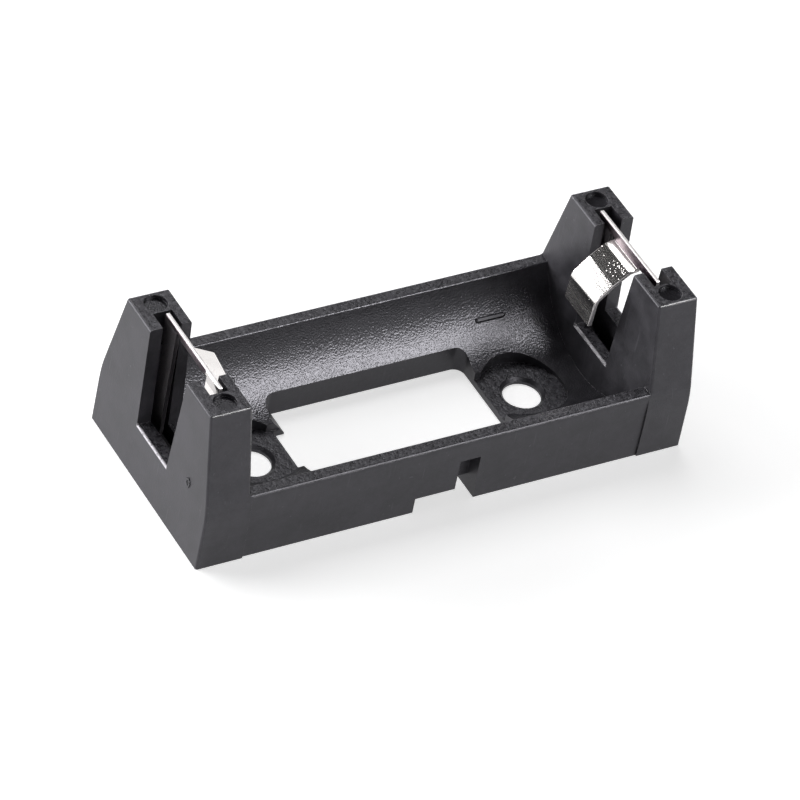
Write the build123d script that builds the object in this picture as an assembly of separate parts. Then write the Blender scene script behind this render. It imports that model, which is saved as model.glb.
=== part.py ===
from build123d import *
import os

# Holder for one 17 x 34.5 mm lithium cell, soldered and screwed to a circuit board.
# Millimetres. X runs along the cell, Y across it, Z up. Z = 0 is the board's face and
# the origin is midway between the two screw holes.

# Overall size
LENGTH = 48.0
WIDTH = 20.0
HEIGHT = 15.5
RIM = 7.0               # top of the two long walls

# Draft that lets the moulding leave its tool
END_DRAFT = 0.2         # each end face leans in by this much over the height
INSIDE_DRAFT = 0.28     # and so does each block's inner face, towards the cell at its foot
BLOCK = 4.17            # from a block's inner face at the top to the end of the holder
BLOCK_TOP_INSIDE = LENGTH / 2 - BLOCK
BLOCK_FOOT_INSIDE = BLOCK_TOP_INSIDE - INSIDE_DRAFT

# Seen from the end, the sides stand straight and then lean in above a soft bend
BEND_Z = 6.0
BEND_RADIUS = 12.0
SIDE_LEAN = 2.2 / 9.5   # how far each side leans in, for its height above the bend
TOP_HALF_WIDTH = WIDTH / 2 - SIDE_LEAN * (HEIGHT - BEND_Z)
WALL_SETBACK = 0.15     # the long walls lie this far inside the end blocks
EDGE = 0.22             # radius on the outer edges
LIP = 0.18              # radius on the rims' inner edges
SILL_EDGE = 0.12        # radius on the sills' edges

# Trough that the cell lies in
WALL = 0.9              # the long walls at their thinnest
TROUGH_RADIUS = WIDTH / 2 - WALL
TROUGH_FLOOR = 0.95

# Opening in the floor between the screw holes
WINDOW_LENGTH = LENGTH - 27.8
WINDOW_WIDTH = 10.5
WINDOW_CORNER = 1.0
WINDOW_SLOPE = 1.15     # the -X end wall leans in by this much at its foot
WINDOW_SLOPE_FROM, WINDOW_SLOPE_TO = 0.2, 1.5
WINDOW_NOTCH_HALF = 2.6     # where the -X pocket's floor stands back from that foot

# Screw holes, each in a round pocket that opens into the window
SCREW_FROM_WINDOW = 3.4
SCREW_X = WINDOW_LENGTH / 2 + SCREW_FROM_WINDOW
SCREW_RADIUS = 1.75
SCREW_LEAD = 0.3
POCKET_RADIUS = 3.95
POCKET_FLOOR = 0.6
NECK_HALF_WIDTH = 2.8

# Slot through each end block, narrower at its foot
SLOT_TOP_HALF = 3.42
SLOT_FOOT_HALF = 2.8
OUTER_SILL = 5.4
INNER_SILL = 4.5

# Contact, stamped from one strip
SHEET = 0.4
SHEET_FROM_END = 2.6    # middle of the standing plate
SHEET_X = LENGTH / 2 - SHEET_FROM_END
PLATE_HALF_WIDTH = 4.95
PLATE_PROUD = 0.1       # the plate's top stands this far above the housing
LEAF_HALF_WIDTH = 2.1
LEAF_GAP = 0.65         # between the leaf and the legs that it was cut from
PLATE_WINDOW_FOOT = 3.6
PLATE_WINDOW_TOP = HEIGHT - 0.75
TAIL_HALF_WIDTH = 2.3
PIN_HALF_WIDTH = 0.6
PIN_BELOW_BOARD_FACE = 3.3
BEND = 0.45             # radius at the middle of the sheet

# Leaves, from the plate down to the free end, along the middle of the sheet: how far in
# from the plate, and how far down from the top of the housing. The -X leaf stands lower.
NEGATIVE_LEAF = [(0, 0.1), (0, 1.0), (0.95, 1.1), (2.36, 2.22), (3.8, 3.8), (3.9, 6.4)]
POSITIVE_LEAF = [(0, 0.1), (0, 1.0), (0.95, 1.1), (3.3, 3.0), (3.95, 4.4), (4.0, 6.6)]

# Groove that holds a contact across the slot, and the pit below it
GROOVE_IN = SHEET_X - 0.6
GROOVE_OUT = SHEET_X + 1.2
GROOVE_HALF = PLATE_HALF_WIDTH - 0.45      # the wide part, on both sides of the sheet
GROOVE_MOUTH_HALF = PLATE_HALF_WIDTH + 0.35
GROOVE_MOUTH_DEPTH = 3.0
GROOVE_FLOOR = 2.4
PIT_FLOOR = 1.2
CLEARANCE = 0.02        # between the sheet and the slit that grips its edge

# Marks and clearances that the moulding has
EJECTOR_X = SHEET_X + 0.35
EJECTOR_Y = TOP_HALF_WIDTH - 1.35
EJECTOR_RADIUS = 1.05
EJECTOR_DEPTH = 0.35
NOTCH_FROM, NOTCH_TO = -2.9, 3.1
NOTCH_HEIGHT = 1.6
KEYWAY_FROM, KEYWAY_TO = 1.0, 3.0
KEYWAY_HEIGHT = 4.8
KEYWAY_DEPTH = 1.4

ABOVE = HEIGHT + 2.0    # any height clear of the top
BELOW = -2.0            # any height clear of the underside


def block(x0, x1, y0, y1, z0, z1):
    """Box between two corners."""
    size = (x1 - x0, y1 - y0, z1 - z0)
    return Pos((x0 + x1) / 2, (y0 + y1) / 2, (z0 + z1) / 2) * Box(*size)


def both_ends(shape):
    """The shape and its mirror image at the other end."""
    return shape + mirror(shape, about=Plane.YZ)


def side_view():
    """The holder seen from its long side: two tall blocks and the low wall between them."""
    half = LENGTH / 2
    at_rim = BLOCK_FOOT_INSIDE + (BLOCK_TOP_INSIDE - BLOCK_FOOT_INSIDE) * RIM / HEIGHT
    right = [(half, 0), (half - END_DRAFT, HEIGHT), (BLOCK_TOP_INSIDE, HEIGHT), (at_rim, RIM)]
    left = [(-x, z) for x, z in reversed(right)]
    face = Plane.XZ * make_face(Polyline(*right, *left, close=True))
    return extrude(face, WIDTH, both=True)


def end_view():
    """The holder seen from its end: straight sides, then a lean above a soft bend."""
    half = WIDTH / 2
    outline = [(-half, 0), (half, 0), (half, BEND_Z), (TOP_HALF_WIDTH, HEIGHT)]
    outline += [(-TOP_HALF_WIDTH, HEIGHT), (-half, BEND_Z)]
    face = make_face(Polyline(*outline, close=True))
    bends = [v for v in face.vertices() if abs(v.Y - BEND_Z) < 0.01]
    return extrude(Plane.YZ * fillet(bends, BEND_RADIUS), LENGTH, both=True)


def body():
    """Outside of the housing: the two views cut out of each other, with soft edges."""
    solid = side_view() & end_view()
    solid = fillet([e for e in solid.edges() if e.bounding_box().max.Z > 0.01], EDGE)
    for side in (-1, 1):
        wall = side * (WIDTH / 2 - WALL_SETBACK)
        beyond = side * WIDTH
        low, high = sorted((wall, beyond))
        solid -= block(-BLOCK_FOOT_INSIDE, BLOCK_FOOT_INSIDE, low, high, BELOW, RIM + 1)
    return solid


def trough():
    """Room for the cell, from one end block to the other."""
    ends = [(BLOCK_FOOT_INSIDE, 0), (BLOCK_TOP_INSIDE, HEIGHT)]
    ends += [(-BLOCK_TOP_INSIDE, HEIGHT), (-BLOCK_FOOT_INSIDE, 0)]
    between = extrude(Plane.XZ * make_face(Polyline(*ends, close=True)), WIDTH, both=True)
    middle = TROUGH_FLOOR + TROUGH_RADIUS
    bed = Pos(0, middle) * Circle(TROUGH_RADIUS) & Pos(0, RIM - WIDTH / 2) * Rectangle(WIDTH, WIDTH)
    clear = Pos(0, RIM + WIDTH / 4) * Rectangle(WIDTH + 2, WIDTH / 2)
    section = bed + clear
    rims = [v for v in section.vertices() if abs(v.Y - RIM) < 0.01 and abs(v.X) < WIDTH / 2]
    return extrude(Plane.YZ * fillet(rims, LIP), LENGTH, both=True) & between


def window():
    """Opening through the floor, with a leaning wall at its -X end."""
    end = WINDOW_LENGTH / 2
    foot = WINDOW_SLOPE - end
    face = RectangleRounded(WINDOW_LENGTH, WINDOW_WIDTH, WINDOW_CORNER)
    upright = Pos(0, 0, BELOW) * extrude(face, RIM - BELOW)
    side = [(end, BELOW), (end, RIM), (-end, RIM), (-end, WINDOW_SLOPE_TO)]
    side += [(foot, WINDOW_SLOPE_FROM), (foot, BELOW)]
    leaning = extrude(Plane.XZ * make_face(Polyline(*side, close=True)), WIDTH, both=True)
    notch = block(-end, foot + 1, -WINDOW_NOTCH_HALF, WINDOW_NOTCH_HALF, BELOW, POCKET_FLOOR)
    return (upright & leaning) + notch


def screw_place():
    """Round pocket, its neck to the window, and the screw hole with its lead-in."""
    height = RIM - POCKET_FLOOR
    pocket = Pos(SCREW_X, 0, POCKET_FLOOR + height / 2) * Cylinder(POCKET_RADIUS, height)
    neck = block(0, SCREW_X, -NECK_HALF_WIDTH, NECK_HALF_WIDTH, POCKET_FLOOR, RIM)
    hole = Pos(SCREW_X, 0, 0) * Cylinder(SCREW_RADIUS, -2 * BELOW)
    lead = Pos(SCREW_X, 0, POCKET_FLOOR - SCREW_LEAD / 2)
    lead *= Cone(SCREW_RADIUS, SCREW_RADIUS + SCREW_LEAD, SCREW_LEAD)
    return pocket + neck + hole + lead


def slot(x0, x1, sill):
    """Tapered slot from x0 to x1, open at the top, down to a sill."""
    lean = (SLOT_TOP_HALF - SLOT_FOOT_HALF) / (HEIGHT - OUTER_SILL)
    foot = SLOT_FOOT_HALF
    head = SLOT_TOP_HALF + lean * (ABOVE - HEIGHT)
    corners = [(-foot, sill), (foot, sill), (foot, OUTER_SILL), (head, ABOVE)]
    corners += [(-head, ABOVE), (-foot, OUTER_SILL)]
    if sill == OUTER_SILL:
        corners = [(-foot, sill), (foot, sill), (head, ABOVE), (-head, ABOVE)]
    face = make_face(Polyline(*corners, close=True))
    return extrude(Plane.YZ.offset(x0) * face, x1 - x0)


def contact_place():
    """Slot, grooves, pit and pin slit of one end block."""
    cut = slot(GROOVE_OUT, LENGTH / 2 + 1, OUTER_SILL)
    cut += slot(BLOCK_FOOT_INSIDE - BLOCK, GROOVE_IN, INNER_SILL)
    cut += slot(GROOVE_IN, GROOVE_OUT, PIT_FLOOR)
    cut += block(GROOVE_IN, GROOVE_OUT, -GROOVE_HALF, GROOVE_HALF, GROOVE_FLOOR, ABOVE)
    mouth = HEIGHT - GROOVE_MOUTH_DEPTH
    cut += block(GROOVE_IN, GROOVE_OUT, -GROOVE_MOUTH_HALF, GROOVE_MOUTH_HALF, mouth, ABOVE)
    near = SHEET_X - SHEET / 2 - CLEARANCE
    far = SHEET_X + SHEET / 2 + CLEARANCE
    grip = PLATE_HALF_WIDTH + 5 * CLEARANCE
    cut += block(near, far, -grip, grip, GROOVE_FLOOR, ABOVE)
    slit = PIN_HALF_WIDTH + 5 * CLEARANCE
    cut += block(near, far, -slit, slit, BELOW, PIT_FLOOR)
    for side in (-1, 1):
        mark = Pos(EJECTOR_X, side * EJECTOR_Y, HEIGHT)
        cut += mark * Cylinder(EJECTOR_RADIUS, 2 * EJECTOR_DEPTH)
    return cut


def wall_notch():
    """Low notch under one long wall, with a taller keyway at one end of it."""
    outside = -WIDTH / 2 - 1
    inside = -WINDOW_WIDTH / 2 + 0.5
    notch = block(NOTCH_FROM, NOTCH_TO, outside, inside, BELOW, NOTCH_HEIGHT)
    back = -WIDTH / 2 + WALL_SETBACK + KEYWAY_DEPTH
    return notch + block(KEYWAY_FROM, KEYWAY_TO, outside, back, BELOW, KEYWAY_HEIGHT)


def make_housing():
    """The plastic moulding."""
    solid = body() - trough()
    solid -= window()
    solid -= both_ends(screw_place())
    solid -= both_ends(contact_place())
    solid -= wall_notch()
    return soften(solid)


def soften(solid):
    """Small radii on the edges that the cuts left sharp and that catch the light."""
    across = solid.edges().filter_by(Axis.Y)
    outer = [e for e in across if abs(e.center().Z - OUTER_SILL) < 0.01]
    outer = [e for e in outer if abs(e.center().X) > GROOVE_OUT + 0.1]
    inner = [e for e in across if abs(e.center().Z - INNER_SILL) < 0.01]
    inner = [e for e in inner if abs(e.center().X) < GROOVE_IN - 0.1]
    return fillet(outer + inner, SILL_EDGE)


def make_contact(leaf_corners):
    """Contact for the +X end: plate, bent leaf, tail and solder pin, all one strip."""
    near = SHEET_X - SHEET / 2
    far = SHEET_X + SHEET / 2
    opening = LEAF_HALF_WIDTH + LEAF_GAP
    top = HEIGHT + PLATE_PROUD
    strip = block(near, far, -PLATE_HALF_WIDTH, PLATE_HALF_WIDTH, GROOVE_FLOOR, top)
    strip -= block(near, far, -opening, opening, PLATE_WINDOW_FOOT, PLATE_WINDOW_TOP)
    strip += block(near, far, -TAIL_HALF_WIDTH, TAIL_HALF_WIDTH, PIT_FLOOR, GROOVE_FLOOR)
    pin = block(near, far, -PIN_HALF_WIDTH, PIN_HALF_WIDTH, -PIN_BELOW_BOARD_FACE, PIT_FLOOR)
    tip = [e for e in pin.edges().filter_by(Axis.X) if e.center().Z < 0]
    strip += chamfer(tip, length=0.7, length2=0.35)
    corners = [(SHEET_X - inward, HEIGHT - down) for inward, down in leaf_corners]
    line = Polyline(*corners)
    bends = [v for v in line.vertices() if corners[-1][1] < v.Y < corners[0][1]]
    leaf = trace(fillet(bends, BEND), SHEET)
    return strip + extrude(Plane.XZ * leaf, LEAF_HALF_WIDTH, both=True)


housing = make_housing()
negative_contact = make_contact(NEGATIVE_LEAF)
positive_contact = mirror(make_contact(POSITIVE_LEAF), about=Plane.YZ)

os.makedirs("parts", exist_ok=True)
export_step(housing, "parts/housing.step")
export_step(positive_contact, "parts/positive_contact.step")
export_step(negative_contact, "parts/negative_contact.step")
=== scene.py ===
# %% [markdown]
# # A battery holder for a circuit board
#
# The object is a small black moulding, 48 mm long, that holds one lithium cell between two
# nickel-plated contacts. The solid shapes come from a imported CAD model. This script dresses
# them: it gives the plastic its grain and its scuffs, folds the contacts out of thin sheet,
# adds the small marks that a mould leaves, and lights the whole thing like a catalogue
# picture on white.
#
# Everything in the scene is in metres and in the CAD model's own frame: X runs along the
# cell, Y across it, Z up, and Z = 0 is the board that the holder is screwed to.

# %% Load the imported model
import math

import bmesh
import bpy
from mathutils import Matrix, Vector


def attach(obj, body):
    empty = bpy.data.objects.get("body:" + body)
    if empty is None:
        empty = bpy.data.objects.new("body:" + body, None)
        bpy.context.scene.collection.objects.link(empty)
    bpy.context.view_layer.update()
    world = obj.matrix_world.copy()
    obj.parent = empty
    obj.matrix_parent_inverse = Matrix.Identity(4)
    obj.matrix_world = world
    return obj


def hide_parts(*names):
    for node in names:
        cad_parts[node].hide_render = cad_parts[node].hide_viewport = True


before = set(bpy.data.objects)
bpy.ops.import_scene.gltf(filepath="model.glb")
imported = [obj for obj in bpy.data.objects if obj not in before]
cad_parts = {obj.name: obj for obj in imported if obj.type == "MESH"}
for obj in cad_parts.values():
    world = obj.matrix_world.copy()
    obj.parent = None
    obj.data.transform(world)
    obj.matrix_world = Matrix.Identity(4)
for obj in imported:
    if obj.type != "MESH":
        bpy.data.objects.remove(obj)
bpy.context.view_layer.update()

MM = 0.001
print("nodes in the frame:", sorted(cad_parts))

# %% [markdown]
# ## The camera
#
# The picture was taken from in front of the holder's left end, about 41 degrees above it,
# with a long lens, so parallel edges hardly come together. It could be matched by eye, but
# a part with this many straight edges can be fitted exactly: the corners of the blocks and
# the rims, marked in the picture, give the camera's place, its direction, its roll and the
# length of the lens by least squares. The numbers below are the result. The roll of about
# 12 degrees is there because the real holder leaned on its solder pins.

# %% Camera
CAMERA_AT = Vector((-224.858, -304.331, 336.238)) * MM
LOOKS_ALONG = Vector((0.44718873, 0.60365536, -0.66001701))
UP_IN_PICTURE = Vector((0.21586199, 0.64326209, 0.73458661))


def place_camera():
    """Puts a long lens where the photographer stood."""
    forward = LOOKS_ALONG.normalized()
    right = forward.cross(UP_IN_PICTURE).normalized()
    up = right.cross(forward)
    data = bpy.data.cameras.new("catalogue_camera")
    data.lens = 262.14
    data.sensor_width = 36
    data.clip_start = 0.05
    data.clip_end = 20
    camera = bpy.data.objects.new("catalogue_camera", data)
    turn = Matrix((right, up, -forward)).transposed()
    camera.matrix_world = Matrix.Translation(CAMERA_AT) @ turn.to_4x4()
    bpy.context.scene.collection.objects.link(camera)
    bpy.context.scene.camera = camera
    return camera


camera = place_camera()
print("camera stands", round(camera.location.length, 3), "m from the holder")

# %% [markdown]
# ## Writing a material in nodes
#
# Every finish below is a small network of nodes. Making nodes one by one takes many lines,
# so the first helper makes one node, sets its named inputs and joins it to the nodes before
# it. An input can be a number, a colour, or the output socket of another node. The others
# give short names to the nodes that come up again and again.

# %% Helpers for nodes


def new_finish(name):
    """An empty material, and the tree that its nodes go into."""
    material = bpy.data.materials.new(name)
    material.use_nodes = True
    tree = material.node_tree
    tree.nodes.clear()
    return material, tree


def add(tree, kind, inputs=None, **settings):
    """Adds one node, sets its settings, and fills or joins its inputs."""
    node = tree.nodes.new(kind)
    for key, value in settings.items():
        setattr(node, key, value)
    for key, value in (inputs or {}).items():
        if isinstance(value, bpy.types.NodeSocket):
            tree.links.new(value, node.inputs[key])
        else:
            node.inputs[key].default_value = value
    return node


def maths(tree, operation, *values):
    """The result of one Math node."""
    inputs = dict(enumerate(values))
    return add(tree, "ShaderNodeMath", inputs, operation=operation).outputs[0]


def between(tree, value, low, high, to_low=0.0, to_high=1.0):
    """Turns low to high into to_low to to_high, smoothly, and holds the ends."""
    inputs = {
        "Value": value,
        "From Min": low,
        "From Max": high,
        "To Min": to_low,
        "To Max": to_high,
    }
    kind = "ShaderNodeMapRange"
    return add(tree, kind, inputs, interpolation_type="SMOOTHSTEP").outputs["Result"]


def mixed(tree, factor, start, end):
    """A number that goes from start to end as the factor goes from 0 to 1."""
    inputs = {"Factor": factor, 2: start, 3: end}
    return add(tree, "ShaderNodeMix", inputs, data_type="FLOAT").outputs[0]


def blended(tree, factor, start, end):
    """A colour that goes from start to end as the factor goes from 0 to 1."""
    inputs = {"Factor": factor, "A": start, "B": end}
    return add(tree, "ShaderNodeMix", inputs, data_type="RGBA").outputs["Result"]


def noise(tree, place, scale, detail, roughness):
    """Cloudy noise in the object's own space. The scale is in cells for each metre."""
    inputs = {"Vector": place, "Scale": scale, "Detail": detail, "Roughness": roughness}
    return add(tree, "ShaderNodeTexNoise", inputs).outputs["Fac"]


def object_space(tree):
    """The place on the piece, in metres from the holder's origin."""
    return add(tree, "ShaderNodeTexCoord").outputs["Object"]


def unfolded(tree, place):
    """The same place with its signs dropped, so that one rule serves all four corners."""
    return add(tree, "ShaderNodeVectorMath", {0: place}, operation="ABSOLUTE").outputs[0]


def axes(tree, place):
    """The X, Y and Z of a place or a direction."""
    return add(tree, "ShaderNodeSeparateXYZ", {0: place}).outputs


def raised(tree, height, strength, distance):
    """A normal that follows a height, as Bump makes it."""
    inputs = {"Strength": strength, "Distance": distance, "Height": height}
    return add(tree, "ShaderNodeBump", inputs).outputs[0]


def surface(tree, inputs):
    """Ends a finish with one Principled shader."""
    shader = add(tree, "ShaderNodeBsdfPrincipled", inputs).outputs[0]
    add(tree, "ShaderNodeOutputMaterial", {"Surface": shader})


# %% [markdown]
# ## The floor
#
# The catalogue picture has no floor to speak of: only white, and a faint shadow where the
# holder stands. A sheet of white paper would come out grey at a light level that suits the
# black plastic. So the paper is an ordinary matt white, and it also glows a little, but only
# for rays that come straight from the camera or from a reflection. Light Path tells the
# rays apart. The holder gets no extra light from the glow, and the shadow stays.

# %% Floor
PAPER_WHITE = (0.80, 0.80, 0.805, 1)
FLOOR_HALF = 6.0
GLOW_TO_CAMERA = 0.64
GLOW_IN_REFLECTIONS = 0.68


def paper():
    """Matt white that the camera and reflections see as white."""
    material, tree = new_finish("white_paper")
    rays = add(tree, "ShaderNodeLightPath").outputs
    mirrored = maths(tree, "MAXIMUM", rays["Is Glossy Ray"], rays["Is Transmission Ray"])
    mirrored = maths(tree, "MULTIPLY", mirrored, GLOW_IN_REFLECTIONS)
    glow = maths(tree, "MULTIPLY_ADD", rays["Is Camera Ray"], GLOW_TO_CAMERA, mirrored)
    matt = add(tree, "ShaderNodeBsdfDiffuse", {"Color": PAPER_WHITE}).outputs[0]
    light = add(tree, "ShaderNodeEmission", {"Color": (1, 1, 1, 1), "Strength": glow}).outputs[0]
    both = add(tree, "ShaderNodeAddShader", {0: matt, 1: light}).outputs[0]
    add(tree, "ShaderNodeOutputMaterial", {"Surface": both})
    return material


def lay_floor():
    """One large flat sheet at the height of the board."""
    shape = bmesh.new()
    bmesh.ops.create_grid(shape, x_segments=1, y_segments=1, size=FLOOR_HALF)
    mesh = bpy.data.meshes.new("floor")
    shape.to_mesh(mesh)
    shape.free()
    floor = bpy.data.objects.new("floor", mesh)
    mesh.materials.append(paper())
    bpy.context.scene.collection.objects.link(floor)
    return floor


floor = lay_floor()
print("floor:", [round(side, 1) for side in floor.dimensions.xy], "m")

# %% [markdown]
# ## The light
#
# Black plastic shows almost nothing of its own colour: what we see on it are reflections.
# So the lamps are placed by what each face mirrors towards the camera. The trough's far
# wall mirrors a large soft lamp in front of the holder's right end, which gives the broad
# grainy sheen. A weak one below it keeps the wall's upper part from going black. These two
# are switched off for diffuse light, so that they show in reflections and nowhere else.
# Two lamps low on the left, behind the holder, are mirrored as white bands by the leaf of
# the right contact. The end and the long side mirror the white paper. The lamp above and
# behind whitens the bend at the leaf's root, and throws the faint shadow towards the camera.
#
# The surroundings are white near the horizon and dim higher up, as in a room with a white
# table. That dim part is what draws the dark band on the contact's leaf.

# %% Lamps


def softbox(name, towards, distance, wide, high, power):
    """A rectangular lamp that faces the holder from a direction. Metres and watts."""
    data = bpy.data.lights.new(name, "AREA")
    data.shape = "RECTANGLE"
    data.size = wide
    data.size_y = high
    data.energy = power
    lamp = bpy.data.objects.new(name, data)
    direction = Vector(towards).normalized()
    lamp.matrix_world = (
        Matrix.Translation(direction * distance)
        @ direction.to_track_quat("Z", "Y").to_matrix().to_4x4()
    )
    bpy.context.scene.collection.objects.link(lamp)
    return lamp


lamps = [
    softbox("lamp_above", (0.0, 0.55, 0.85), 0.80, 0.66, 0.46, 2.6),
    softbox("lamp_left_low", (-0.66, 0.74, 0.12), 0.80, 0.60, 0.20, 4.6),
    softbox("lamp_left_strip", (-0.72, 0.604, 0.38), 0.76, 0.46, 0.13, 3.0),
    softbox("lamp_front_right", (0.455, -0.50, 0.72), 0.75, 0.47, 0.27, 8.5),
    softbox("lamp_front_low", (0.45, -0.86, 0.22), 0.75, 0.50, 0.26, 0.34),
]
for front_lamp in lamps[-2:]:
    front_lamp.visible_diffuse = False
print("lamps:", [lamp.name for lamp in lamps])

# %% Surroundings
WHITE_BELOW = 0.12
DIM_ABOVE = 0.50
LOW_STRENGTH = 1.12
HIGH_STRENGTH = 0.04


def surroundings():
    """White for the camera, and for all other rays white low down and dim higher up."""
    world = bpy.data.worlds.new("white_room")
    bpy.context.scene.world = world
    world.use_nodes = True
    tree = world.node_tree
    tree.nodes.clear()
    direction = add(tree, "ShaderNodeTexCoord").outputs["Generated"]
    height = axes(tree, direction)["Z"]
    room = between(tree, height, WHITE_BELOW, DIM_ABOVE, LOW_STRENGTH, HIGH_STRENGTH)
    rays = add(tree, "ShaderNodeLightPath").outputs
    strength = mixed(tree, rays["Is Camera Ray"], room, 1.0)
    sky = add(tree, "ShaderNodeBackground", {"Color": (1, 1, 1, 1), "Strength": strength})
    add(tree, "ShaderNodeOutputWorld", {"Surface": sky.outputs[0]})


surroundings()
bpy.context.scene.view_settings.view_transform = "Standard"
print("room: white below", WHITE_BELOW, "and dim above", DIM_ABOVE)

# %% [markdown]
# ## Black plastic
#
# The housing is moulded from black plastic. The mould's trough was spark-eroded, which
# leaves a fine grain of about 0.15 mm that breaks the sheen into glitter. The outside was
# only ground, so it is smoother, but it carries light dust, small pale nicks, a few upright
# scratches and a faint cloudiness. The level faces on top are mottled and scuffed. Four
# round marks in them were left by the pins that pushed the moulding out, and are smooth.
# A pale highlight is painted along the corners of the slots' sills, in ragged patches.
#
# One material does all of this. It could be many, but the borders between these zones lie
# in the middle of faces. So each zone gets a mask: a number that is 1 inside it and 0
# outside, measured from the point's place. The grain's mask, for one, measures how far the
# point is from the trough's axis.
#
# Nothing here is painted on by hand. Noise in the object's own space moves with the part
# and looks the same from every side.

# %% Where the grain is
TROUGH_RADIUS = 9.1 * MM
TROUGH_AXIS_Z = 10.05 * MM
GRAIN_END = (19.7 * MM, 20.1 * MM)
GRAIN_MISS = (0.03 * MM, 0.07 * MM)


def trough_mask(tree, place):
    """1 on the trough's round wall and 0 everywhere else."""
    from_axis = add(
        tree,
        "ShaderNodeVectorMath",
        {0: place, 1: (0.0, 0.0, TROUGH_AXIS_Z)},
        operation="SUBTRACT",
    ).outputs[0]
    flat = add(
        tree, "ShaderNodeVectorMath", {0: from_axis, 1: (0.0, 1.0, 1.0)}, operation="MULTIPLY"
    ).outputs[0]
    radius = add(tree, "ShaderNodeVectorMath", {0: flat}, operation="LENGTH").outputs["Value"]
    miss = maths(tree, "ABSOLUTE", maths(tree, "SUBTRACT", radius, TROUGH_RADIUS))
    on_wall = between(tree, miss, *GRAIN_MISS, 1.0, 0.0)
    from_middle = maths(tree, "ABSOLUTE", axes(tree, place)["X"])
    inside = between(tree, from_middle, *GRAIN_END, 1.0, 0.0)
    return maths(tree, "MULTIPLY", on_wall, inside)


print("grain: within", GRAIN_MISS[0] / MM, "mm of the trough's wall")

# %% Where the ejector marks are
EJECTOR_MARK = (21.75 * MM, 6.45 * MM, 0.0)
MARK_EDGE = (1.02 * MM, 1.06 * MM)
MARK_TOP = (15.30 * MM, 15.45 * MM)
MARK_FLOOR = (14.9 * MM, 15.0 * MM)


def ejector_mask(tree, place):
    """1 in the four round marks on the pillars' tops and 0 everywhere else."""
    from_middle = add(
        tree,
        "ShaderNodeVectorMath",
        {0: unfolded(tree, place), 1: EJECTOR_MARK},
        operation="SUBTRACT",
    ).outputs[0]
    flat = add(
        tree, "ShaderNodeVectorMath", {0: from_middle, 1: (1.0, 1.0, 0.0)}, operation="MULTIPLY"
    ).outputs[0]
    distance = add(tree, "ShaderNodeVectorMath", {0: flat}, operation="LENGTH").outputs["Value"]
    inside = between(tree, distance, *MARK_EDGE, 1.0, 0.0)
    height = axes(tree, place)["Z"]
    sunk = between(tree, height, *MARK_TOP, 1.0, 0.0)
    high = between(tree, height, *MARK_FLOOR)
    return maths(tree, "MULTIPLY", maths(tree, "MULTIPLY", inside, sunk), high)


print("ejector marks:", [round(v / MM, 2) for v in EJECTOR_MARK[:2]], "mm, in four corners")

# %% Where the sills' highlight is painted, and where it is scratched
SILL_CORNERS = [(19.63 * MM, 0.0, 4.5 * MM), (23.93 * MM, 0.0, 5.4 * MM)]
SILL_HIGHLIGHT_WITHIN = (0.12 * MM, 0.24 * MM)
SLOT_HALF = (2.75 * MM, 2.90 * MM)
SCRATCH_LEAN = (0.14, 0.10, 0.0)
SCRATCH_LONG = (1.0, 1.0, 0.04)


def sill_highlight(tree, place, ragged):
    """High along the four sills' outer corners, where a pale highlight is painted on."""
    folded = unfolded(tree, place)
    side_on = add(
        tree, "ShaderNodeVectorMath", {0: folded, 1: (1.0, 0.0, 1.0)}, operation="MULTIPLY"
    ).outputs[0]
    near = 0.0
    for corner in SILL_CORNERS:
        away = add(
            tree, "ShaderNodeVectorMath", {0: side_on, 1: corner}, operation="DISTANCE"
        ).outputs["Value"]
        near = maths(tree, "MAXIMUM", near, between(tree, away, *SILL_HIGHLIGHT_WITHIN, 1.0, 0.0))
    in_slot = between(tree, axes(tree, folded)["Y"], *SLOT_HALF, 1.0, 0.0)
    patchy = between(tree, ragged, 0.34, 0.52, 0.35, 1.0)
    return maths(tree, "MULTIPLY", maths(tree, "MULTIPLY", near, in_slot), patchy)


def scratches(tree, place):
    """Faint upright scratches, a few millimetres long, in some places and not in others."""
    turned = add(
        tree,
        "ShaderNodeMapping",
        {"Vector": place, "Rotation": SCRATCH_LEAN, "Scale": SCRATCH_LONG},
    ).outputs[0]
    lines = between(tree, noise(tree, turned, 4200, 2, 0.6), 0.60, 0.70)
    places = between(tree, noise(tree, place, 420, 2, 0.5), 0.48, 0.60, 0.0, 0.55)
    return maths(tree, "MULTIPLY", lines, places)


# The sills' pale corners are a painted highlight.
print("scraped sills:", len(SILL_CORNERS), "in each end block")

# %% The plastic's colour
DEEP_BLACK = (0.0105, 0.0101, 0.0126, 1)
CLOUD_BLACK = (0.0360, 0.0345, 0.0400, 1)
DUST_GREY = (0.10, 0.10, 0.11, 1)
SILL_HIGHLIGHT_GREY = (0.62, 0.60, 0.64, 1)
DUST_COVER = 0.45


def dirt(tree, place, on_top, grained):
    """Where dust, the top's scuffs or the sides' scratches lie, from 0 to 1 and a bit more."""
    dust = between(tree, noise(tree, place, 2300, 2, 0.55), 0.70, 0.76)
    scuffs = between(tree, noise(tree, place, 2400, 4, 0.7), 0.52, 0.62, 0.0, 1.6)
    dust = maths(tree, "MAXIMUM", dust, maths(tree, "MULTIPLY", scuffs, on_top))
    ungrained = maths(tree, "SUBTRACT", 1.0, grained)
    scratched = maths(tree, "MULTIPLY", scratches(tree, place), ungrained)
    return maths(tree, "MAXIMUM", dust, scratched)


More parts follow.
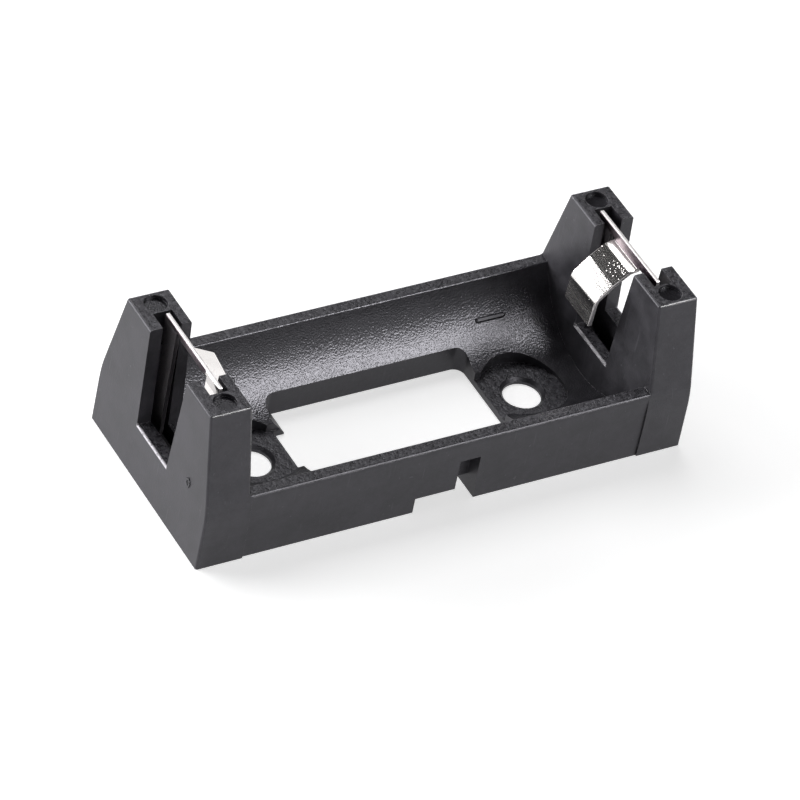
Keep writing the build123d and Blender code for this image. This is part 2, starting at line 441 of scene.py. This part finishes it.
def plastic_colour_and_sill_highlight(tree, place, on_top, grained, clouds, coarse):
    """Black with clouds, then dust on it, and a highlight painted on the sills' corners over all.
    """
    mottled = between(tree, coarse, 0.42, 0.68)
    tone = between(tree, clouds, 0.3, 0.7)
    tone = maths(tree, "MULTIPLY_ADD", on_top, mottled, tone)
    colour = blended(tree, tone, DEEP_BLACK, CLOUD_BLACK)
    dusty = maths(tree, "MULTIPLY", dirt(tree, place, on_top, grained), DUST_COVER)
    colour = blended(tree, dusty, colour, DUST_GREY)
    # The pale grey at the sills' corners is a painted highlight.
    return blended(tree, sill_highlight(tree, place, coarse), colour, SILL_HIGHLIGHT_GREY)


print("clouds from", DEEP_BLACK[:3], "to", CLOUD_BLACK[:3])

# %% Black plastic
GRAIN_CELLS = 6800
MOTTLE_CELLS = 2600
CLOUD_CELLS = 300
LEVEL = (0.90, 0.97)
GRAIN_GLOSS = 0.31
MARK_GLOSS = 0.16
RELIEF = 0.080 * MM
SIDE_RELIEF = 0.10
GRAIN_RELIEF = 0.50
TOP_RELIEF = 1.0
PLASTIC_IOR = 1.52
REFLECTION_TINT = (0.94, 0.925, 1.0, 1)


def black_plastic():
    """Moulded black plastic: grained in the trough, mottled on top, satin elsewhere."""
    material, tree = new_finish("moulded_black_plastic_with_painted_highlight")
    place = object_space(tree)
    grained = trough_mask(tree, place)
    marked = ejector_mask(tree, place)
    facing = add(tree, "ShaderNodeNewGeometry").outputs["Normal"]
    level = between(tree, axes(tree, facing)["Z"], *LEVEL)
    on_top = maths(tree, "MULTIPLY", level, maths(tree, "SUBTRACT", 1.0, grained))
    on_top = maths(tree, "MULTIPLY", on_top, maths(tree, "SUBTRACT", 1.0, marked))

    clouds = noise(tree, place, CLOUD_CELLS, 6, 0.72)
    fine = noise(tree, place, GRAIN_CELLS, 0.8, 0.5)
    coarse = noise(tree, place, MOTTLE_CELLS, 3, 0.65)

    satin = between(tree, clouds, 0.25, 0.75, 0.40, 0.50)
    glossy = between(tree, coarse, 0.35, 0.65, 0.22, 0.38)
    rough = mixed(tree, on_top, satin, glossy)
    rough = mixed(tree, grained, rough, GRAIN_GLOSS)
    rough = mixed(tree, marked, rough, MARK_GLOSS)

    relief = mixed(tree, on_top, fine, coarse)
    depth = mixed(tree, grained, SIDE_RELIEF, GRAIN_RELIEF)
    depth = mixed(tree, on_top, depth, TOP_RELIEF)
    surface(
        tree,
        {
            "Base Color": plastic_colour_and_sill_highlight(tree, place, on_top, grained, clouds, coarse),
            "Roughness": rough,
            "Normal": raised(tree, relief, depth, RELIEF),
            "IOR": PLASTIC_IOR,
            "Specular Tint": REFLECTION_TINT,
        },
    )
    return material


plastic = black_plastic()
print("plastic:", len(plastic.node_tree.nodes), "nodes")

# %% [markdown]
# ## Edges with a painted highlight
#
# The rounded edges carry a painted highlight: a pale grey in their colour, in ragged
# stretches, with dark between them. The rounded edges are real faces, 0.05 to 0.15 mm wide,
# so they can have a finish of their own, and two noises of different size decide where the
# highlight is painted and where it is not. Roundings that face sideways get less of it than
# those that face up, and the outer corners below the trough's rims get none.

# %% Edges with a painted highlight
OUTER_SIDE = (9.5 * MM, 9.6 * MM)
RIM_HEIGHT = (6.5 * MM, 6.7 * MM)
EDGE_BLACK = (0.025, 0.024, 0.028, 1)
EDGE_HIGHLIGHT_GREY = (0.26, 0.25, 0.27, 1)


def edge_highlight_plastic():
    """Black plastic on an edge: a painted highlight in ragged stretches, dark between them."""
    material, tree = new_finish("black_edge_painted_highlight")
    place = object_space(tree)
    stretches = noise(tree, place, 420, 2, 0.6)
    ragged = noise(tree, place, 2600, 3, 0.7)
    highlight = maths(tree, "MULTIPLY_ADD", ragged, 0.5, maths(tree, "MULTIPLY", stretches, 0.5))
    highlight = between(tree, highlight, 0.42, 0.55)
    along = axes(tree, unfolded(tree, place))
    outside = between(tree, along["Y"], *OUTER_SIDE)
    below_rim = between(tree, along["Z"], *RIM_HEIGHT, 1.0, 0.0)
    highlight_allowed = maths(tree, "SUBTRACT", 1.0, maths(tree, "MULTIPLY", outside, below_rim))
    facing = add(tree, "ShaderNodeNewGeometry").outputs["Normal"]
    upward = between(tree, axes(tree, facing)["Z"], 0.15, 0.5, 0.25, 1.0)
    highlight = maths(tree, "MULTIPLY", highlight, upward)
    highlight = maths(tree, "MULTIPLY", highlight, highlight_allowed)
    # The pale grey on the edges is a painted highlight.
    surface(
        tree,
        {
            "Base Color": blended(tree, highlight, EDGE_BLACK, EDGE_HIGHLIGHT_GREY),
            "Roughness": 0.28,
            "Normal": raised(tree, ragged, 0.3, 0.05 * MM),
        },
    )
    return material


edge_highlight = edge_highlight_plastic()
print("rubbed edge:", len(edge_highlight.node_tree.nodes), "nodes")

# %% [markdown]
# ## Housing
#
# The housing's shape is right as the CAD model gives it, but its mesh is loose triangles,
# each shaded flat, and the sheen in the trough would show them. So a copy is made, the CAD
# node itself is hidden, and the copy's doubled points are merged. The narrow faces that
# round off an edge are picked out first, by their width and by the turn beside them, and
# get the finish with the painted highlight. Then the triangles that lie in one plane are
# joined into one face each, because long thin triangles would spoil a bevel.
#
# No moulding has an edge as sharp as a knife. The CAD model rounds only the large ones, and
# the Bevel modifier softens the rest by 0.05 mm. Edges that turn by more than 30 degrees
# stay sharp in the shading, and the weighted normals keep the flat faces flat beside them.

# %% Helpers for pieces


def finished(mesh, name, material):
    """Puts a mesh in the scene as one of the holder's own pieces."""
    piece = bpy.data.objects.new(name, mesh)
    # Clearing the list of materials would put every face back to the first one.
    if mesh.materials:
        mesh.materials[0] = material
    else:
        mesh.materials.append(material)
    bpy.context.scene.collection.objects.link(piece)
    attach(piece, "root")
    return piece


def smooth_over(mesh, angle):
    """Shades a mesh smooth, apart from edges sharper than the angle."""
    mesh.shade_smooth()
    mesh.set_sharp_from_angle(angle=math.radians(angle))


# %% Rounded edges
ROUNDING_WIDTH = 0.16 * MM
LONG_EDGE = 0.3 * MM
LEAST_TURN = math.radians(8)
ON_WALL = 0.02 * MM


def on_trough_wall(face):
    """True for a facet of the trough's round wall."""
    misses = [abs(math.hypot(v.co.y, v.co.z - TROUGH_AXIS_Z) - TROUGH_RADIUS) for v in face.verts]
    return max(misses) < ON_WALL


def turns_over(edge):
    """True for a long edge at which the surface turns: the side of a rounding."""
    return edge.calc_length() > LONG_EDGE and edge.calc_face_angle(0) > LEAST_TURN


def on_rounded_edge(face):
    """True for the narrow slanting faces that round off an edge."""
    narrow = min(edge.calc_length() for edge in face.edges) < ROUNDING_WIDTH
    slanting = 0.08 < face.normal.z < 0.995
    turning = any(turns_over(edge) for edge in face.edges)
    return narrow and slanting and turning and not on_trough_wall(face)


print("a rounding is narrower than", ROUNDING_WIDTH / MM, "mm")

# %% Housing
DOUBLED_WITHIN = 0.001 * MM
ONE_PLANE = math.radians(0.2)
MOULDED_SOFTNESS = 0.05 * MM


def joined_up(mesh):
    """Merges a mesh's doubled points, marks its rounded edges and joins its flat faces."""
    shape = bmesh.new()
    shape.from_mesh(mesh)
    bmesh.ops.remove_doubles(shape, verts=shape.verts, dist=DOUBLED_WITHIN)
    rounded = [face for face in shape.faces if on_rounded_edge(face)]
    for face in rounded:
        face.material_index = 1
    bmesh.ops.dissolve_limit(
        shape,
        angle_limit=ONE_PLANE,
        use_dissolve_boundaries=False,
        verts=shape.verts,
        edges=shape.edges,
        delimit={"MATERIAL"},
    )
    shape.to_mesh(mesh)
    open_edges = sum(not edge.is_manifold for edge in shape.edges)
    print("housing: faces on rounded edges:", len(rounded))
    print("housing:", len(shape.faces), "faces,", open_edges, "open edges")
    shape.free()


def dressed_housing():
    """The housing's CAD mesh, joined up, softened and with its two finishes."""
    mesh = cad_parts["housing"].data.copy()
    joined_up(mesh)
    if mesh.attributes.get("custom_normal"):
        mesh.attributes.remove(mesh.attributes["custom_normal"])
    smooth_over(mesh, 30)
    piece = finished(mesh, "moulded_housing", plastic)
    mesh.materials.append(edge_highlight)
    soft = piece.modifiers.new("soft_edges", "BEVEL")
    soft.width = MOULDED_SOFTNESS
    soft.segments = 2
    soft.limit_method = "ANGLE"
    soft.angle_limit = math.radians(50)
    # The new faces take the second finish, the one with the painted highlight.
    soft.material = 1
    weighted = piece.modifiers.new("flat_faces_stay_flat", "WEIGHTED_NORMAL")
    weighted.keep_sharp = True
    weighted.weight = 100
    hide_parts("housing")
    return piece


housing = dressed_housing()
print("housing is", [round(side / MM, 2) for side in housing.dimensions], "mm")

# %% [markdown]
# ## Nickel-plated sheet
#
# The contacts are stamped from steel strip and plated with nickel. Plated strip is bright,
# but never a perfect mirror: rolling leaves fine lines along it, and small pits under the
# plating catch the light as specks, most of them in one patch of the leaf. The nose that
# rubs on the cell is dull. The standing top bar is duller too, and carries a painted
# reflection: dark mauve at its near end, paler towards its far end. The colour is a touch
# warmer than chrome.
#
# Three duller platings go with it, and each paints light or shade: a pale one paints a
# highlight on the edges that the punch tore, a dark one paints shade on the plate's legs, and
# a darker one paints shade on the legs' own edges deep in the slot. They differ only in their
# colour and roughness, so one function makes all three.

# %% Pits and the painted reflection
PITTED_AT = (20.15 * MM, -1.2 * MM, 14.2 * MM)
PIT_PATCH = (0.5 * MM, 1.9 * MM)
PIT_CELLS = 6200.0
BAR_HEIGHT = (14.58 * MM, 14.66 * MM)
LEG_EDGE = (-2.62 * MM, -2.55 * MM)


def channels(tree, colour):
    """The red, green and blue of a colour, which Voronoi draws by lot for each cell."""
    return add(tree, "ShaderNodeSeparateColor", {0: colour}).outputs


def pits(tree, place, along):
    """Small round pits in the plating, many in one patch of each leaf and few elsewhere."""
    away = add(
        tree,
        "ShaderNodeCombineXYZ",
        {"X": maths(tree, "ABSOLUTE", along["X"]), "Y": along["Y"], "Z": along["Z"]},
    ).outputs[0]
    from_patch = add(
        tree, "ShaderNodeVectorMath", {0: away, 1: PITTED_AT}, operation="DISTANCE"
    ).outputs["Value"]
    cells = add(
        tree, "ShaderNodeTexVoronoi", {"Vector": place, "Scale": PIT_CELLS}, feature="F1"
    ).outputs
    lot = channels(tree, cells["Color"])["Red"]
    scarcity = between(tree, from_patch, *PIT_PATCH, 0.42, 0.985)
    drawn = maths(tree, "GREATER_THAN", lot, scarcity)
    return maths(tree, "MULTIPLY", between(tree, cells["Distance"], 0.10, 0.34, 1.0, 0.0), drawn)


def painted_reflection_mask(tree, along):
    """1 on the standing faces of the plate's top bar, which are dull and get a painted mauve
    reflection.
    """
    facing = add(tree, "ShaderNodeNewGeometry").outputs["Normal"]
    sideways = maths(tree, "ABSOLUTE", axes(tree, facing)["X"])
    standing = between(tree, sideways, 0.45, 0.65)
    high = between(tree, along["Z"], *BAR_HEIGHT)
    far = between(tree, along["Y"], *LEG_EDGE, 0.30, 1.0)
    far = maths(tree, "MAXIMUM", far, maths(tree, "GREATER_THAN", along["X"], 0.0))
    return maths(tree, "MULTIPLY", maths(tree, "MULTIPLY", standing, high), far)


print("pits: most within", PIT_PATCH[0] / MM, "mm of the patch's middle")

# %% Nickel
BRIGHT_NICKEL = (0.79, 0.765, 0.750, 1)
DARK_MAUVE_REFLECTION = (0.035, 0.024, 0.032, 1)
PALE_MAUVE_REFLECTION = (0.15, 0.125, 0.135, 1)
MAUVE_REFLECTION_FADES = (-2.2 * MM, 1.6 * MM)
NOSE_HEIGHT = (10.6 * MM, 12.0 * MM)
ROLLED_HEIGHT = (11.5 * MM, 12.5 * MM)


def nickel():
    """Bright nickel over rolled strip: fine lines, pits, a dull nose, and a painted reflection on
    the bar.
    """
    material, tree = new_finish("nickel_plate")
    place = object_space(tree)
    along = axes(tree, place)
    stretched = add(tree, "ShaderNodeMapping", {"Vector": place, "Scale": (1.0, 0.05, 1.0)})
    lines = noise(tree, stretched.outputs[0], 7000, 2, 0.6)
    waves = noise(tree, place, 500, 1, 0.5)
    line_depth = between(tree, along["Z"], *ROLLED_HEIGHT, 0.001, 0.005)
    relief = maths(tree, "MULTIPLY", lines, line_depth)
    relief = maths(tree, "MULTIPLY_ADD", pits(tree, place, along), -0.24, relief)
    relief = maths(tree, "MULTIPLY_ADD", waves, 0.045, relief)
    reflection_painted = painted_reflection_mask(tree, along)
    dull_nose = between(tree, along["Z"], *NOSE_HEIGHT, 0.13, 0.0)
    rough = maths(tree, "ADD", between(tree, lines, 0.3, 0.8, 0.11, 0.17), dull_nose)
    rough = maths(tree, "MULTIPLY_ADD", reflection_painted, 0.28, rough)
    fading = between(tree, along["Y"], *MAUVE_REFLECTION_FADES)
    mauve = blended(tree, fading, DARK_MAUVE_REFLECTION, PALE_MAUVE_REFLECTION)
    # The mauve on the bar's standing faces is a painted reflection.
    surface(
        tree,
        {
            "Base Color": blended(tree, reflection_painted, BRIGHT_NICKEL, mauve),
            "Metallic": 1.0,
            "Roughness": rough,
            "Normal": raised(tree, relief, 1.0, 0.05 * MM),
        },
    )
    return material


plating = nickel()
print("plating:", len(plating.node_tree.nodes), "nodes")

# %% Duller platings, which paint highlight and shade


def dull_nickel(name, colour, smooth, dull):
    """Plated too, but rougher, and paler to paint a highlight or darker to paint shade."""
    material, tree = new_finish(name)
    torn = noise(tree, object_space(tree), 9000, 3, 0.6)
    surface(
        tree,
        {
            "Base Color": colour,
            "Metallic": 1.0,
            "Roughness": between(tree, torn, 0.3, 0.7, smooth, dull),
            "Normal": raised(tree, torn, 0.35, 0.02 * MM),
        },
    )
    return material


# The legs' and the slot edges' dark platings are painted shade; the pale sheared edge is a
# painted highlight.
leg_painted_shade = dull_nickel("nickel_leg_painted_shade", (0.15, 0.14, 0.15, 1), 0.60, 0.80)
cut_edge_painted_highlight = dull_nickel("sheared_nickel_edge_painted_highlight", (0.93, 0.90, 0.90, 1), 0.36, 0.48)
slot_edge_painted_shade = dull_nickel("nickel_edge_painted_shade", (0.040, 0.038, 0.041, 1), 0.75, 0.90)
print("dull platings:", [finish.name for finish in (leg_painted_shade, cut_edge_painted_highlight, slot_edge_painted_shade)])

# %% [markdown]
# ## Contacts
#
# Each contact is one strip of 0.4 mm sheet. Its plate stands across the end block, held at
# both edges in a slit. A leaf is cut from the middle of the plate, folded inwards from the
# top, sloped down twice, and turned down at its free end to press on the cell. Below the
# plate the strip narrows to a tail and a solder pin.
#
# It could be a solid with the window cut out. Folding it as the press does is better: start
# with flat cells of sheet, delete the window, pull new cells from an edge for each straight
# run, and spin that edge for each bend. Only then does the sheet get its thickness and its
# slightly rounded edges.
#
# The two are not quite twins. The left one has a lower top bar and a steeper leaf, which
# also runs a little askew, so its near edge reaches further inwards than its far edge. The
# askew part begins a short way from the fold, so that the leaf stays joined to its plate.
# The plate's legs, which stay in the block's shade, get a darker plating that paints it on.

# %% Flat sheet
PLATE_X = 21.4 * MM
PLATE_FOOT = 2.4 * MM
WINDOW_FOOT = 3.6 * MM
TOP = 15.6 * MM
LEAF_HALF = 2.1 * MM
GAP_HALF = 2.75 * MM
PLATE_HALF = 4.95 * MM
TAIL_HALF = 2.3 * MM
PIN_HALF = 0.6 * MM
ROOT_ABOVE_WINDOW = 0.155 * MM
NEARLY = 1e-7


def flat_cells(shape, across, down):
    """Lays flat cells of sheet in the plate's plane, split at the given places."""
    cells = bmesh.ops.create_grid(
        shape, x_segments=len(across) - 1, y_segments=len(down) - 1, size=1.0
    )["verts"]
    columns = sorted({round(v.co.x, 4) for v in cells})
    rows = sorted({round(v.co.y, 4) for v in cells})
    for v in cells:
        y = across[columns.index(round(v.co.x, 4))]
        z = down[rows.index(round(v.co.y, 4))]
        v.co = (PLATE_X, y, z)


def cut_window(shape, window_top):
    """Takes out the cells between the plate's legs."""
    hole = []
    for face in shape.faces:
        middle = face.calc_center_median()
        top = window_top + (ROOT_ABOVE_WINDOW if abs(middle.y) < LEAF_HALF else 0)
        if abs(middle.y) < GAP_HALF and WINDOW_FOOT < middle.z < top:
            hole.append(face)
    bmesh.ops.delete(shape, geom=hole, context="FACES")


def edges_where(shape, test):
    """The edges whose two ends both pass a test."""
    return [e for e in shape.edges if all(test(v.co) for v in e.verts)]


print("plate:", 2 * PLATE_HALF / MM, "by", round((TOP - PLATE_FOOT) / MM, 2), "mm")

# %% Pulling and bending
BEND_STEP = 6


def pull(shape, edges, step):
    """Pulls one straight run of sheet out of some edges, and returns its far edges."""
    made = bmesh.ops.extrude_edge_only(shape, edges=edges)["geom"]
    points = [g for g in made if isinstance(g, bmesh.types.BMVert)]
    bmesh.ops.translate(shape, vec=step, verts=points)
    return [g for g in made if isinstance(g, bmesh.types.BMEdge)]


def bend(shape, edges, heading, new_heading, radius):
    """Spins some edges round a bend, and returns its far edges."""
    angle = heading.angle(new_heading)
    sense = 1 if heading.cross(new_heading).y > 0 else -1
    inward = Matrix.Rotation(sense * math.pi / 2, 3, "Y") @ heading
    start = edges[0].verts[0].co
    centre = start + inward * radius
    steps = max(3, round(math.degrees(angle) / BEND_STEP))
    made = bmesh.ops.spin(
        shape,
        geom=edges,
        cent=centre,
        axis=(0, sense, 0),
        dvec=(0, 0, 0),
        angle=angle,
        steps=steps,
        use_duplicate=False,
    )["geom_last"]
    return [g for g in made if isinstance(g, bmesh.types.BMEdge)]


print("a bend has a step for every", BEND_STEP, "degrees")

# %% The leaf
BEND = 0.45 * MM
NOSE_BEND = 1.1 * MM
ROOT_BEND = 0.32 * MM
STRAIGHT_ROOT = 0.6 * MM
SHORTEST_RUN = 0.01 * MM
RIGHT_LEAF = [(21.4, 14.5), (20.5, 14.4), (19.04, 13.28), (17.6, 11.8), (17.45, 9.1)]
LEFT_LEAF = [(21.4, 15.02), (20.2, 13.6), (18.1, 12.45), (17.45, 11.0), (17.4, 8.9)]


def fold_leaf(shape, root, runs, skew):
    """Folds the leaf inwards from the plate's top bar, run by run, and skews it a little."""
    points = [Vector((x * MM, 0, z * MM)) for x, z in runs]
    edges = edges_where(
        shape, lambda p: abs(p.z - root) < NEARLY and abs(p.y) < LEAF_HALF + NEARLY
    )
    here = Vector((PLATE_X, 0, root))
    plate = set(shape.verts)
    for i, corner in enumerate(points):
        heading = (corner - here).normalized()
        last = i == len(points) - 1
        if last:
            pull(shape, edges, corner - here)
            break
        following = (points[i + 1] - corner).normalized()
        turn = heading.angle(following)
        radius = (ROOT_BEND, *[BEND] * (len(points) - 3), NOSE_BEND)[i]
        used = min(radius * math.tan(turn / 2), (corner - here).length)
        run = (corner - here).length - used
        if run > SHORTEST_RUN:
            edges = pull(shape, edges, heading * run)
        edges = bend(shape, edges, heading, following, used / math.tan(turn / 2))
        here = corner + following * used
    for v in shape.verts:
        if v not in plate:
            share = skew * (LEAF_HALF - v.co.y) / (2 * LEAF_HALF)
            v.co.x += max(0, PLATE_X - STRAIGHT_ROOT - v.co.x) * share


print("each leaf has", len(RIGHT_LEAF), "corners")

# %% The tail, the pin and the legs
TAIL_FOOT = 1.2 * MM
PIN_TIP = -3.3 * MM
TIP_HALF = 0.3 * MM
TIP_TAPER = 0.7 * MM
# Below this height the near leg's cells get the dark plating, a painted shade.
SHADE_PAINTED_BELOW = 13.4 * MM
OFF_PLATE = 0.01 * MM


def drop_pin(shape):
    """Pulls the tail and the tapered solder pin down from the plate's foot."""
    foot = edges_where(
        shape, lambda p: abs(p.z - PLATE_FOOT) < NEARLY and abs(p.y) < TAIL_HALF + NEARLY
    )
    foot = pull(shape, foot, Vector((0, 0, TAIL_FOOT - PLATE_FOOT)))
    foot = [e for e in foot if all(abs(v.co.y) < PIN_HALF + NEARLY for v in e.verts)]
    foot = pull(shape, foot, Vector((0, 0, PIN_TIP + TIP_TAPER - TAIL_FOOT)))
    foot = pull(shape, foot, Vector((0, 0, -TIP_TAPER)))
    for v in {v for e in foot for v in e.verts}:
        v.co.y = math.copysign(TIP_HALF, v.co.y)


def mark_legs(shape, window_top):
    """Gives the legs' cells the dark plating, a painted shade: the far leg's up to the window's
    top.
    """
    for face in shape.faces:
        middle = face.calc_center_median()
        shaded_below = SHADE_PAINTED_BELOW if middle.y < 0 else window_top
        on_leg = middle.x > PLATE_X - OFF_PLATE and middle.z < shaded_below
        face.material_index = 2 if on_leg else 0


print("the pin ends at", PIN_TIP / MM, "mm, below the board's face")

# %% Contacts
SHEET = 0.4 * MM
SHEARED_SOFTNESS = 0.11 * MM
RIGHT_WINDOW_TOP = 14.75 * MM
LEFT_WINDOW_TOP = 15.12 * MM
SKEW = 0.16


def contact(name, node, end, window_top, runs, skew):
    """One contact: end is 1 at the +X end and -1 at the other."""
    shape = bmesh.new()
    root = window_top + ROOT_ABOVE_WINDOW
    half = [PIN_HALF, LEAF_HALF, TAIL_HALF, GAP_HALF, PLATE_HALF]
    across = [-y for y in reversed(half)] + half
    flat_cells(shape, across, [PLATE_FOOT, WINDOW_FOOT, SHADE_PAINTED_BELOW, window_top, root, TOP])
    cut_window(shape, window_top)
    fold_leaf(shape, root, runs, skew)
    drop_pin(shape)
    bmesh.ops.recalc_face_normals(shape, faces=shape.faces)
    mark_legs(shape, window_top)
    print(name, "sheet has", len(shape.faces), "cells")
    if end < 0:
        bmesh.ops.scale(shape, vec=(-1, 1, 1), verts=shape.verts)
        bmesh.ops.recalc_face_normals(shape, faces=shape.faces)
    mesh = bpy.data.meshes.new(name)
    shape.to_mesh(mesh)
    shape.free()
    smooth_over(mesh, 30)
    piece = finished(mesh, name, plating)
    # Solidify gives a cut edge the material after its cell's: 1 by the leaf and 3 by a leg.
    for finish in (cut_edge_painted_highlight, leg_painted_shade, slot_edge_painted_shade):
        mesh.materials.append(finish)
    thick = piece.modifiers.new("sheet_thickness", "SOLIDIFY")
    thick.thickness = SHEET
    thick.offset = 0
    thick.material_offset_rim = 1
    soft = piece.modifiers.new("soft_edges", "BEVEL")
    soft.width = SHEARED_SOFTNESS
    soft.segments = 3
    soft.limit_method = "ANGLE"
    soft.angle_limit = math.radians(40)
    weighted = piece.modifiers.new("flat_faces_stay_flat", "WEIGHTED_NORMAL")
    weighted.weight = 100
    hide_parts(node)
    return piece


contacts = [
    contact("contact_right", "negative_contact", 1, RIGHT_WINDOW_TOP, RIGHT_LEAF, 0.0),
    contact("contact_left", "positive_contact", -1, LEFT_WINDOW_TOP, LEFT_LEAF, SKEW),
]
print("contacts:", [piece.name for piece in contacts])

# %% [markdown]
# ## Signs on the trough wall
#
# The trough's far wall carries a minus sign beside the right contact. In the picture it is a
# raised bar 3 mm long with rounded ends: its top is as bright as the wall and its flanks are
# dark. The plus sign at the other end is hidden behind the near pillar, so it is made to
# match. They are cut into the mould, so on the part they stand up from the wall.
#
# Each bar starts as a cube, is scaled to the stroke, and gets its ends rounded by a wide
# bevel and its top by a narrow one. Then it is laid against the wall: at an angle up the
# trough, the wall's surface and its inward direction come from a sine and a cosine.

# %% One bar
PROUD = 0.20 * MM
SUNK = 0.10 * MM
CHAMFER = 0.15 * MM


def bar(shape, length, wide):
    """One rounded bar lying along X, its foot below zero."""
    made = bmesh.ops.create_cube(shape, size=1.0)["verts"]
    bmesh.ops.scale(shape, vec=(length, wide, PROUD + SUNK), verts=made)
    bmesh.ops.translate(shape, vec=(0, 0, (PROUD - SUNK) / 2), verts=made)
    ends = {
        e for v in made for e in v.link_edges if abs(e.verts[0].co.z - e.verts[1].co.z) > PROUD
    }
    rounded = bmesh.ops.bevel(
        shape,
        geom=list(ends),
        offset=wide * 0.42,
        offset_type="OFFSET",
        segments=6,
        profile=0.5,
        affect="EDGES",
        material=-1,
    )["faces"]
    points = set(made) | {v for f in rounded for v in f.verts}
    points = [v for v in points if v.is_valid]
    top = {
        e
        for v in points
        for e in v.link_edges
        if all(abs(w.co.z - PROUD) < NEARLY / 10 for w in e.verts)
    }
    bmesh.ops.bevel(
        shape,
        geom=list(top),
        offset=CHAMFER,
        offset_type="OFFSET",
        segments=1,
        profile=0.5,
        affect="EDGES",
        material=-1,
    )


print("a bar stands", PROUD / MM, "mm proud")

# %% Signs
STROKE = 0.52 * MM
MINUS_LONG = 3.0 * MM
PLUS_LONG = 2.6 * MM
MINUS_AT = 13.26 * MM
PLUS_AT = -13.6 * MM
SIGN_ANGLE = math.radians(47.0)


def lay_on_wall(shape, along, angle):
    """Lays a sign against the trough's far wall, at an angle up from the trough's bottom."""
    inward = Vector((0, -math.sin(angle), math.cos(angle)))
    across = Vector((0, math.cos(angle), math.sin(angle)))
    spot = Vector((along, 0, TROUGH_AXIS_Z)) - inward * TROUGH_RADIUS
    turn = Matrix((Vector((1, 0, 0)), across, inward)).transposed()
    bmesh.ops.transform(
        shape, matrix=Matrix.Translation(spot) @ turn.to_4x4(), verts=shape.verts
    )


def sign(name, along, angle, plus):
    """A minus sign, or a plus sign made of two crossed bars."""
    shape = bmesh.new()
    if plus:
        quarter = Matrix.Rotation(math.pi / 2, 3, "Z")
        bar(shape, PLUS_LONG, STROKE)
        bmesh.ops.rotate(shape, cent=(0, 0, 0), matrix=quarter, verts=shape.verts)
        bar(shape, PLUS_LONG, STROKE)
    else:
        bar(shape, MINUS_LONG, STROKE)
    lay_on_wall(shape, along, angle)
    mesh = bpy.data.meshes.new(name)
    shape.to_mesh(mesh)
    print(name, "has", len(shape.faces), "faces")
    shape.free()
    smooth_over(mesh, 40)
    return finished(mesh, name, plastic)


signs = [
    sign("minus_sign", MINUS_AT, SIGN_ANGLE, plus=False),
    sign("plus_sign", PLUS_AT, SIGN_ANGLE, plus=True),
]
print("signs:", [piece.name for piece in signs])

# %% [markdown]
# ## The gate's mark
#
# Melted plastic enters a mould through a narrow gate. When the moulding is broken off its
# runner, a small torn ring stays on the surface, here on the left end face, near its corner.
# Bump in the material could fake it, but its rim stands up and catches the light, so it is
# made: a filled circle is raised, inset, and its middle pushed back in. It stands less than a
# tenth of a millimetre proud, because at its height that is how far the end face leans in
# from the holder's full length, and nothing may stick out past that.

# %% Torn plastic


def torn_plastic():
    """Black plastic where it was broken: dull, dark and rough."""
    material, tree = new_finish("torn_black_plastic")
    ragged = noise(tree, object_space(tree), 7000, 3, 0.7)
    surface(
        tree,
        {
            "Base Color": (0.010, 0.0095, 0.011, 1),
            "Roughness": 0.55,
            "Normal": raised(tree, ragged, 1.0, 0.08 * MM),
        },
    )
    return material


torn = torn_plastic()
print("torn plastic:", len(torn.node_tree.nodes), "nodes")

# %% Gate mark
GATE_AT = Vector((-23.905, -6.4, 6.9)) * MM
GATE_RADIUS = 0.34 * MM
GATE_RIM = 0.13 * MM
GATE_LIP = 0.05 * MM
GATE_PROUD = 0.075 * MM
GATE_TALLER = 1.55
END_LEAN = math.atan(0.2 / 15.5)


def gate_mark():
    """A low ragged ring with a sunk middle, on the left end face."""
    shape = bmesh.new()
    bmesh.ops.create_circle(shape, cap_ends=True, radius=GATE_RADIUS, segments=22)
    for i, v in enumerate(shape.verts):
        v.co *= 1 + 0.10 * math.sin(2.4 * i) + 0.06 * math.sin(5.3 * i)
    made = bmesh.ops.extrude_face_region(shape, geom=shape.faces[:])["geom"]
    points = [g for g in made if isinstance(g, bmesh.types.BMVert)]
    bmesh.ops.translate(shape, vec=(0, 0, GATE_PROUD), verts=points)
    top = [g for g in made if isinstance(g, bmesh.types.BMFace)]
    bmesh.ops.inset_region(shape, faces=top, thickness=GATE_RIM, depth=0.0)
    bmesh.ops.inset_region(shape, faces=top, thickness=GATE_LIP, depth=-0.8 * GATE_PROUD)
    top[0].material_index = 1
    bmesh.ops.scale(shape, vec=(1.0, GATE_TALLER, 1.0), verts=shape.verts)
    outward = Vector((-math.cos(END_LEAN), 0, math.sin(END_LEAN)))
    upward = Vector((math.sin(END_LEAN), 0, math.cos(END_LEAN)))
    turn = Matrix((upward.cross(outward), upward, outward)).transposed()
    bmesh.ops.transform(
        shape, matrix=Matrix.Translation(GATE_AT) @ turn.to_4x4(), verts=shape.verts
    )
    bmesh.ops.recalc_face_normals(shape, faces=shape.faces)
    mesh = bpy.data.meshes.new("gate_mark")
    shape.to_mesh(mesh)
    print("gate mark has", len(shape.faces), "faces")
    shape.free()
    smooth_over(mesh, 40)
    piece = finished(mesh, "gate_mark", plastic)
    mesh.materials.append(torn)
    return piece


gate = gate_mark()
print("gate mark is", [round(side / MM, 2) for side in gate.dimensions], "mm")
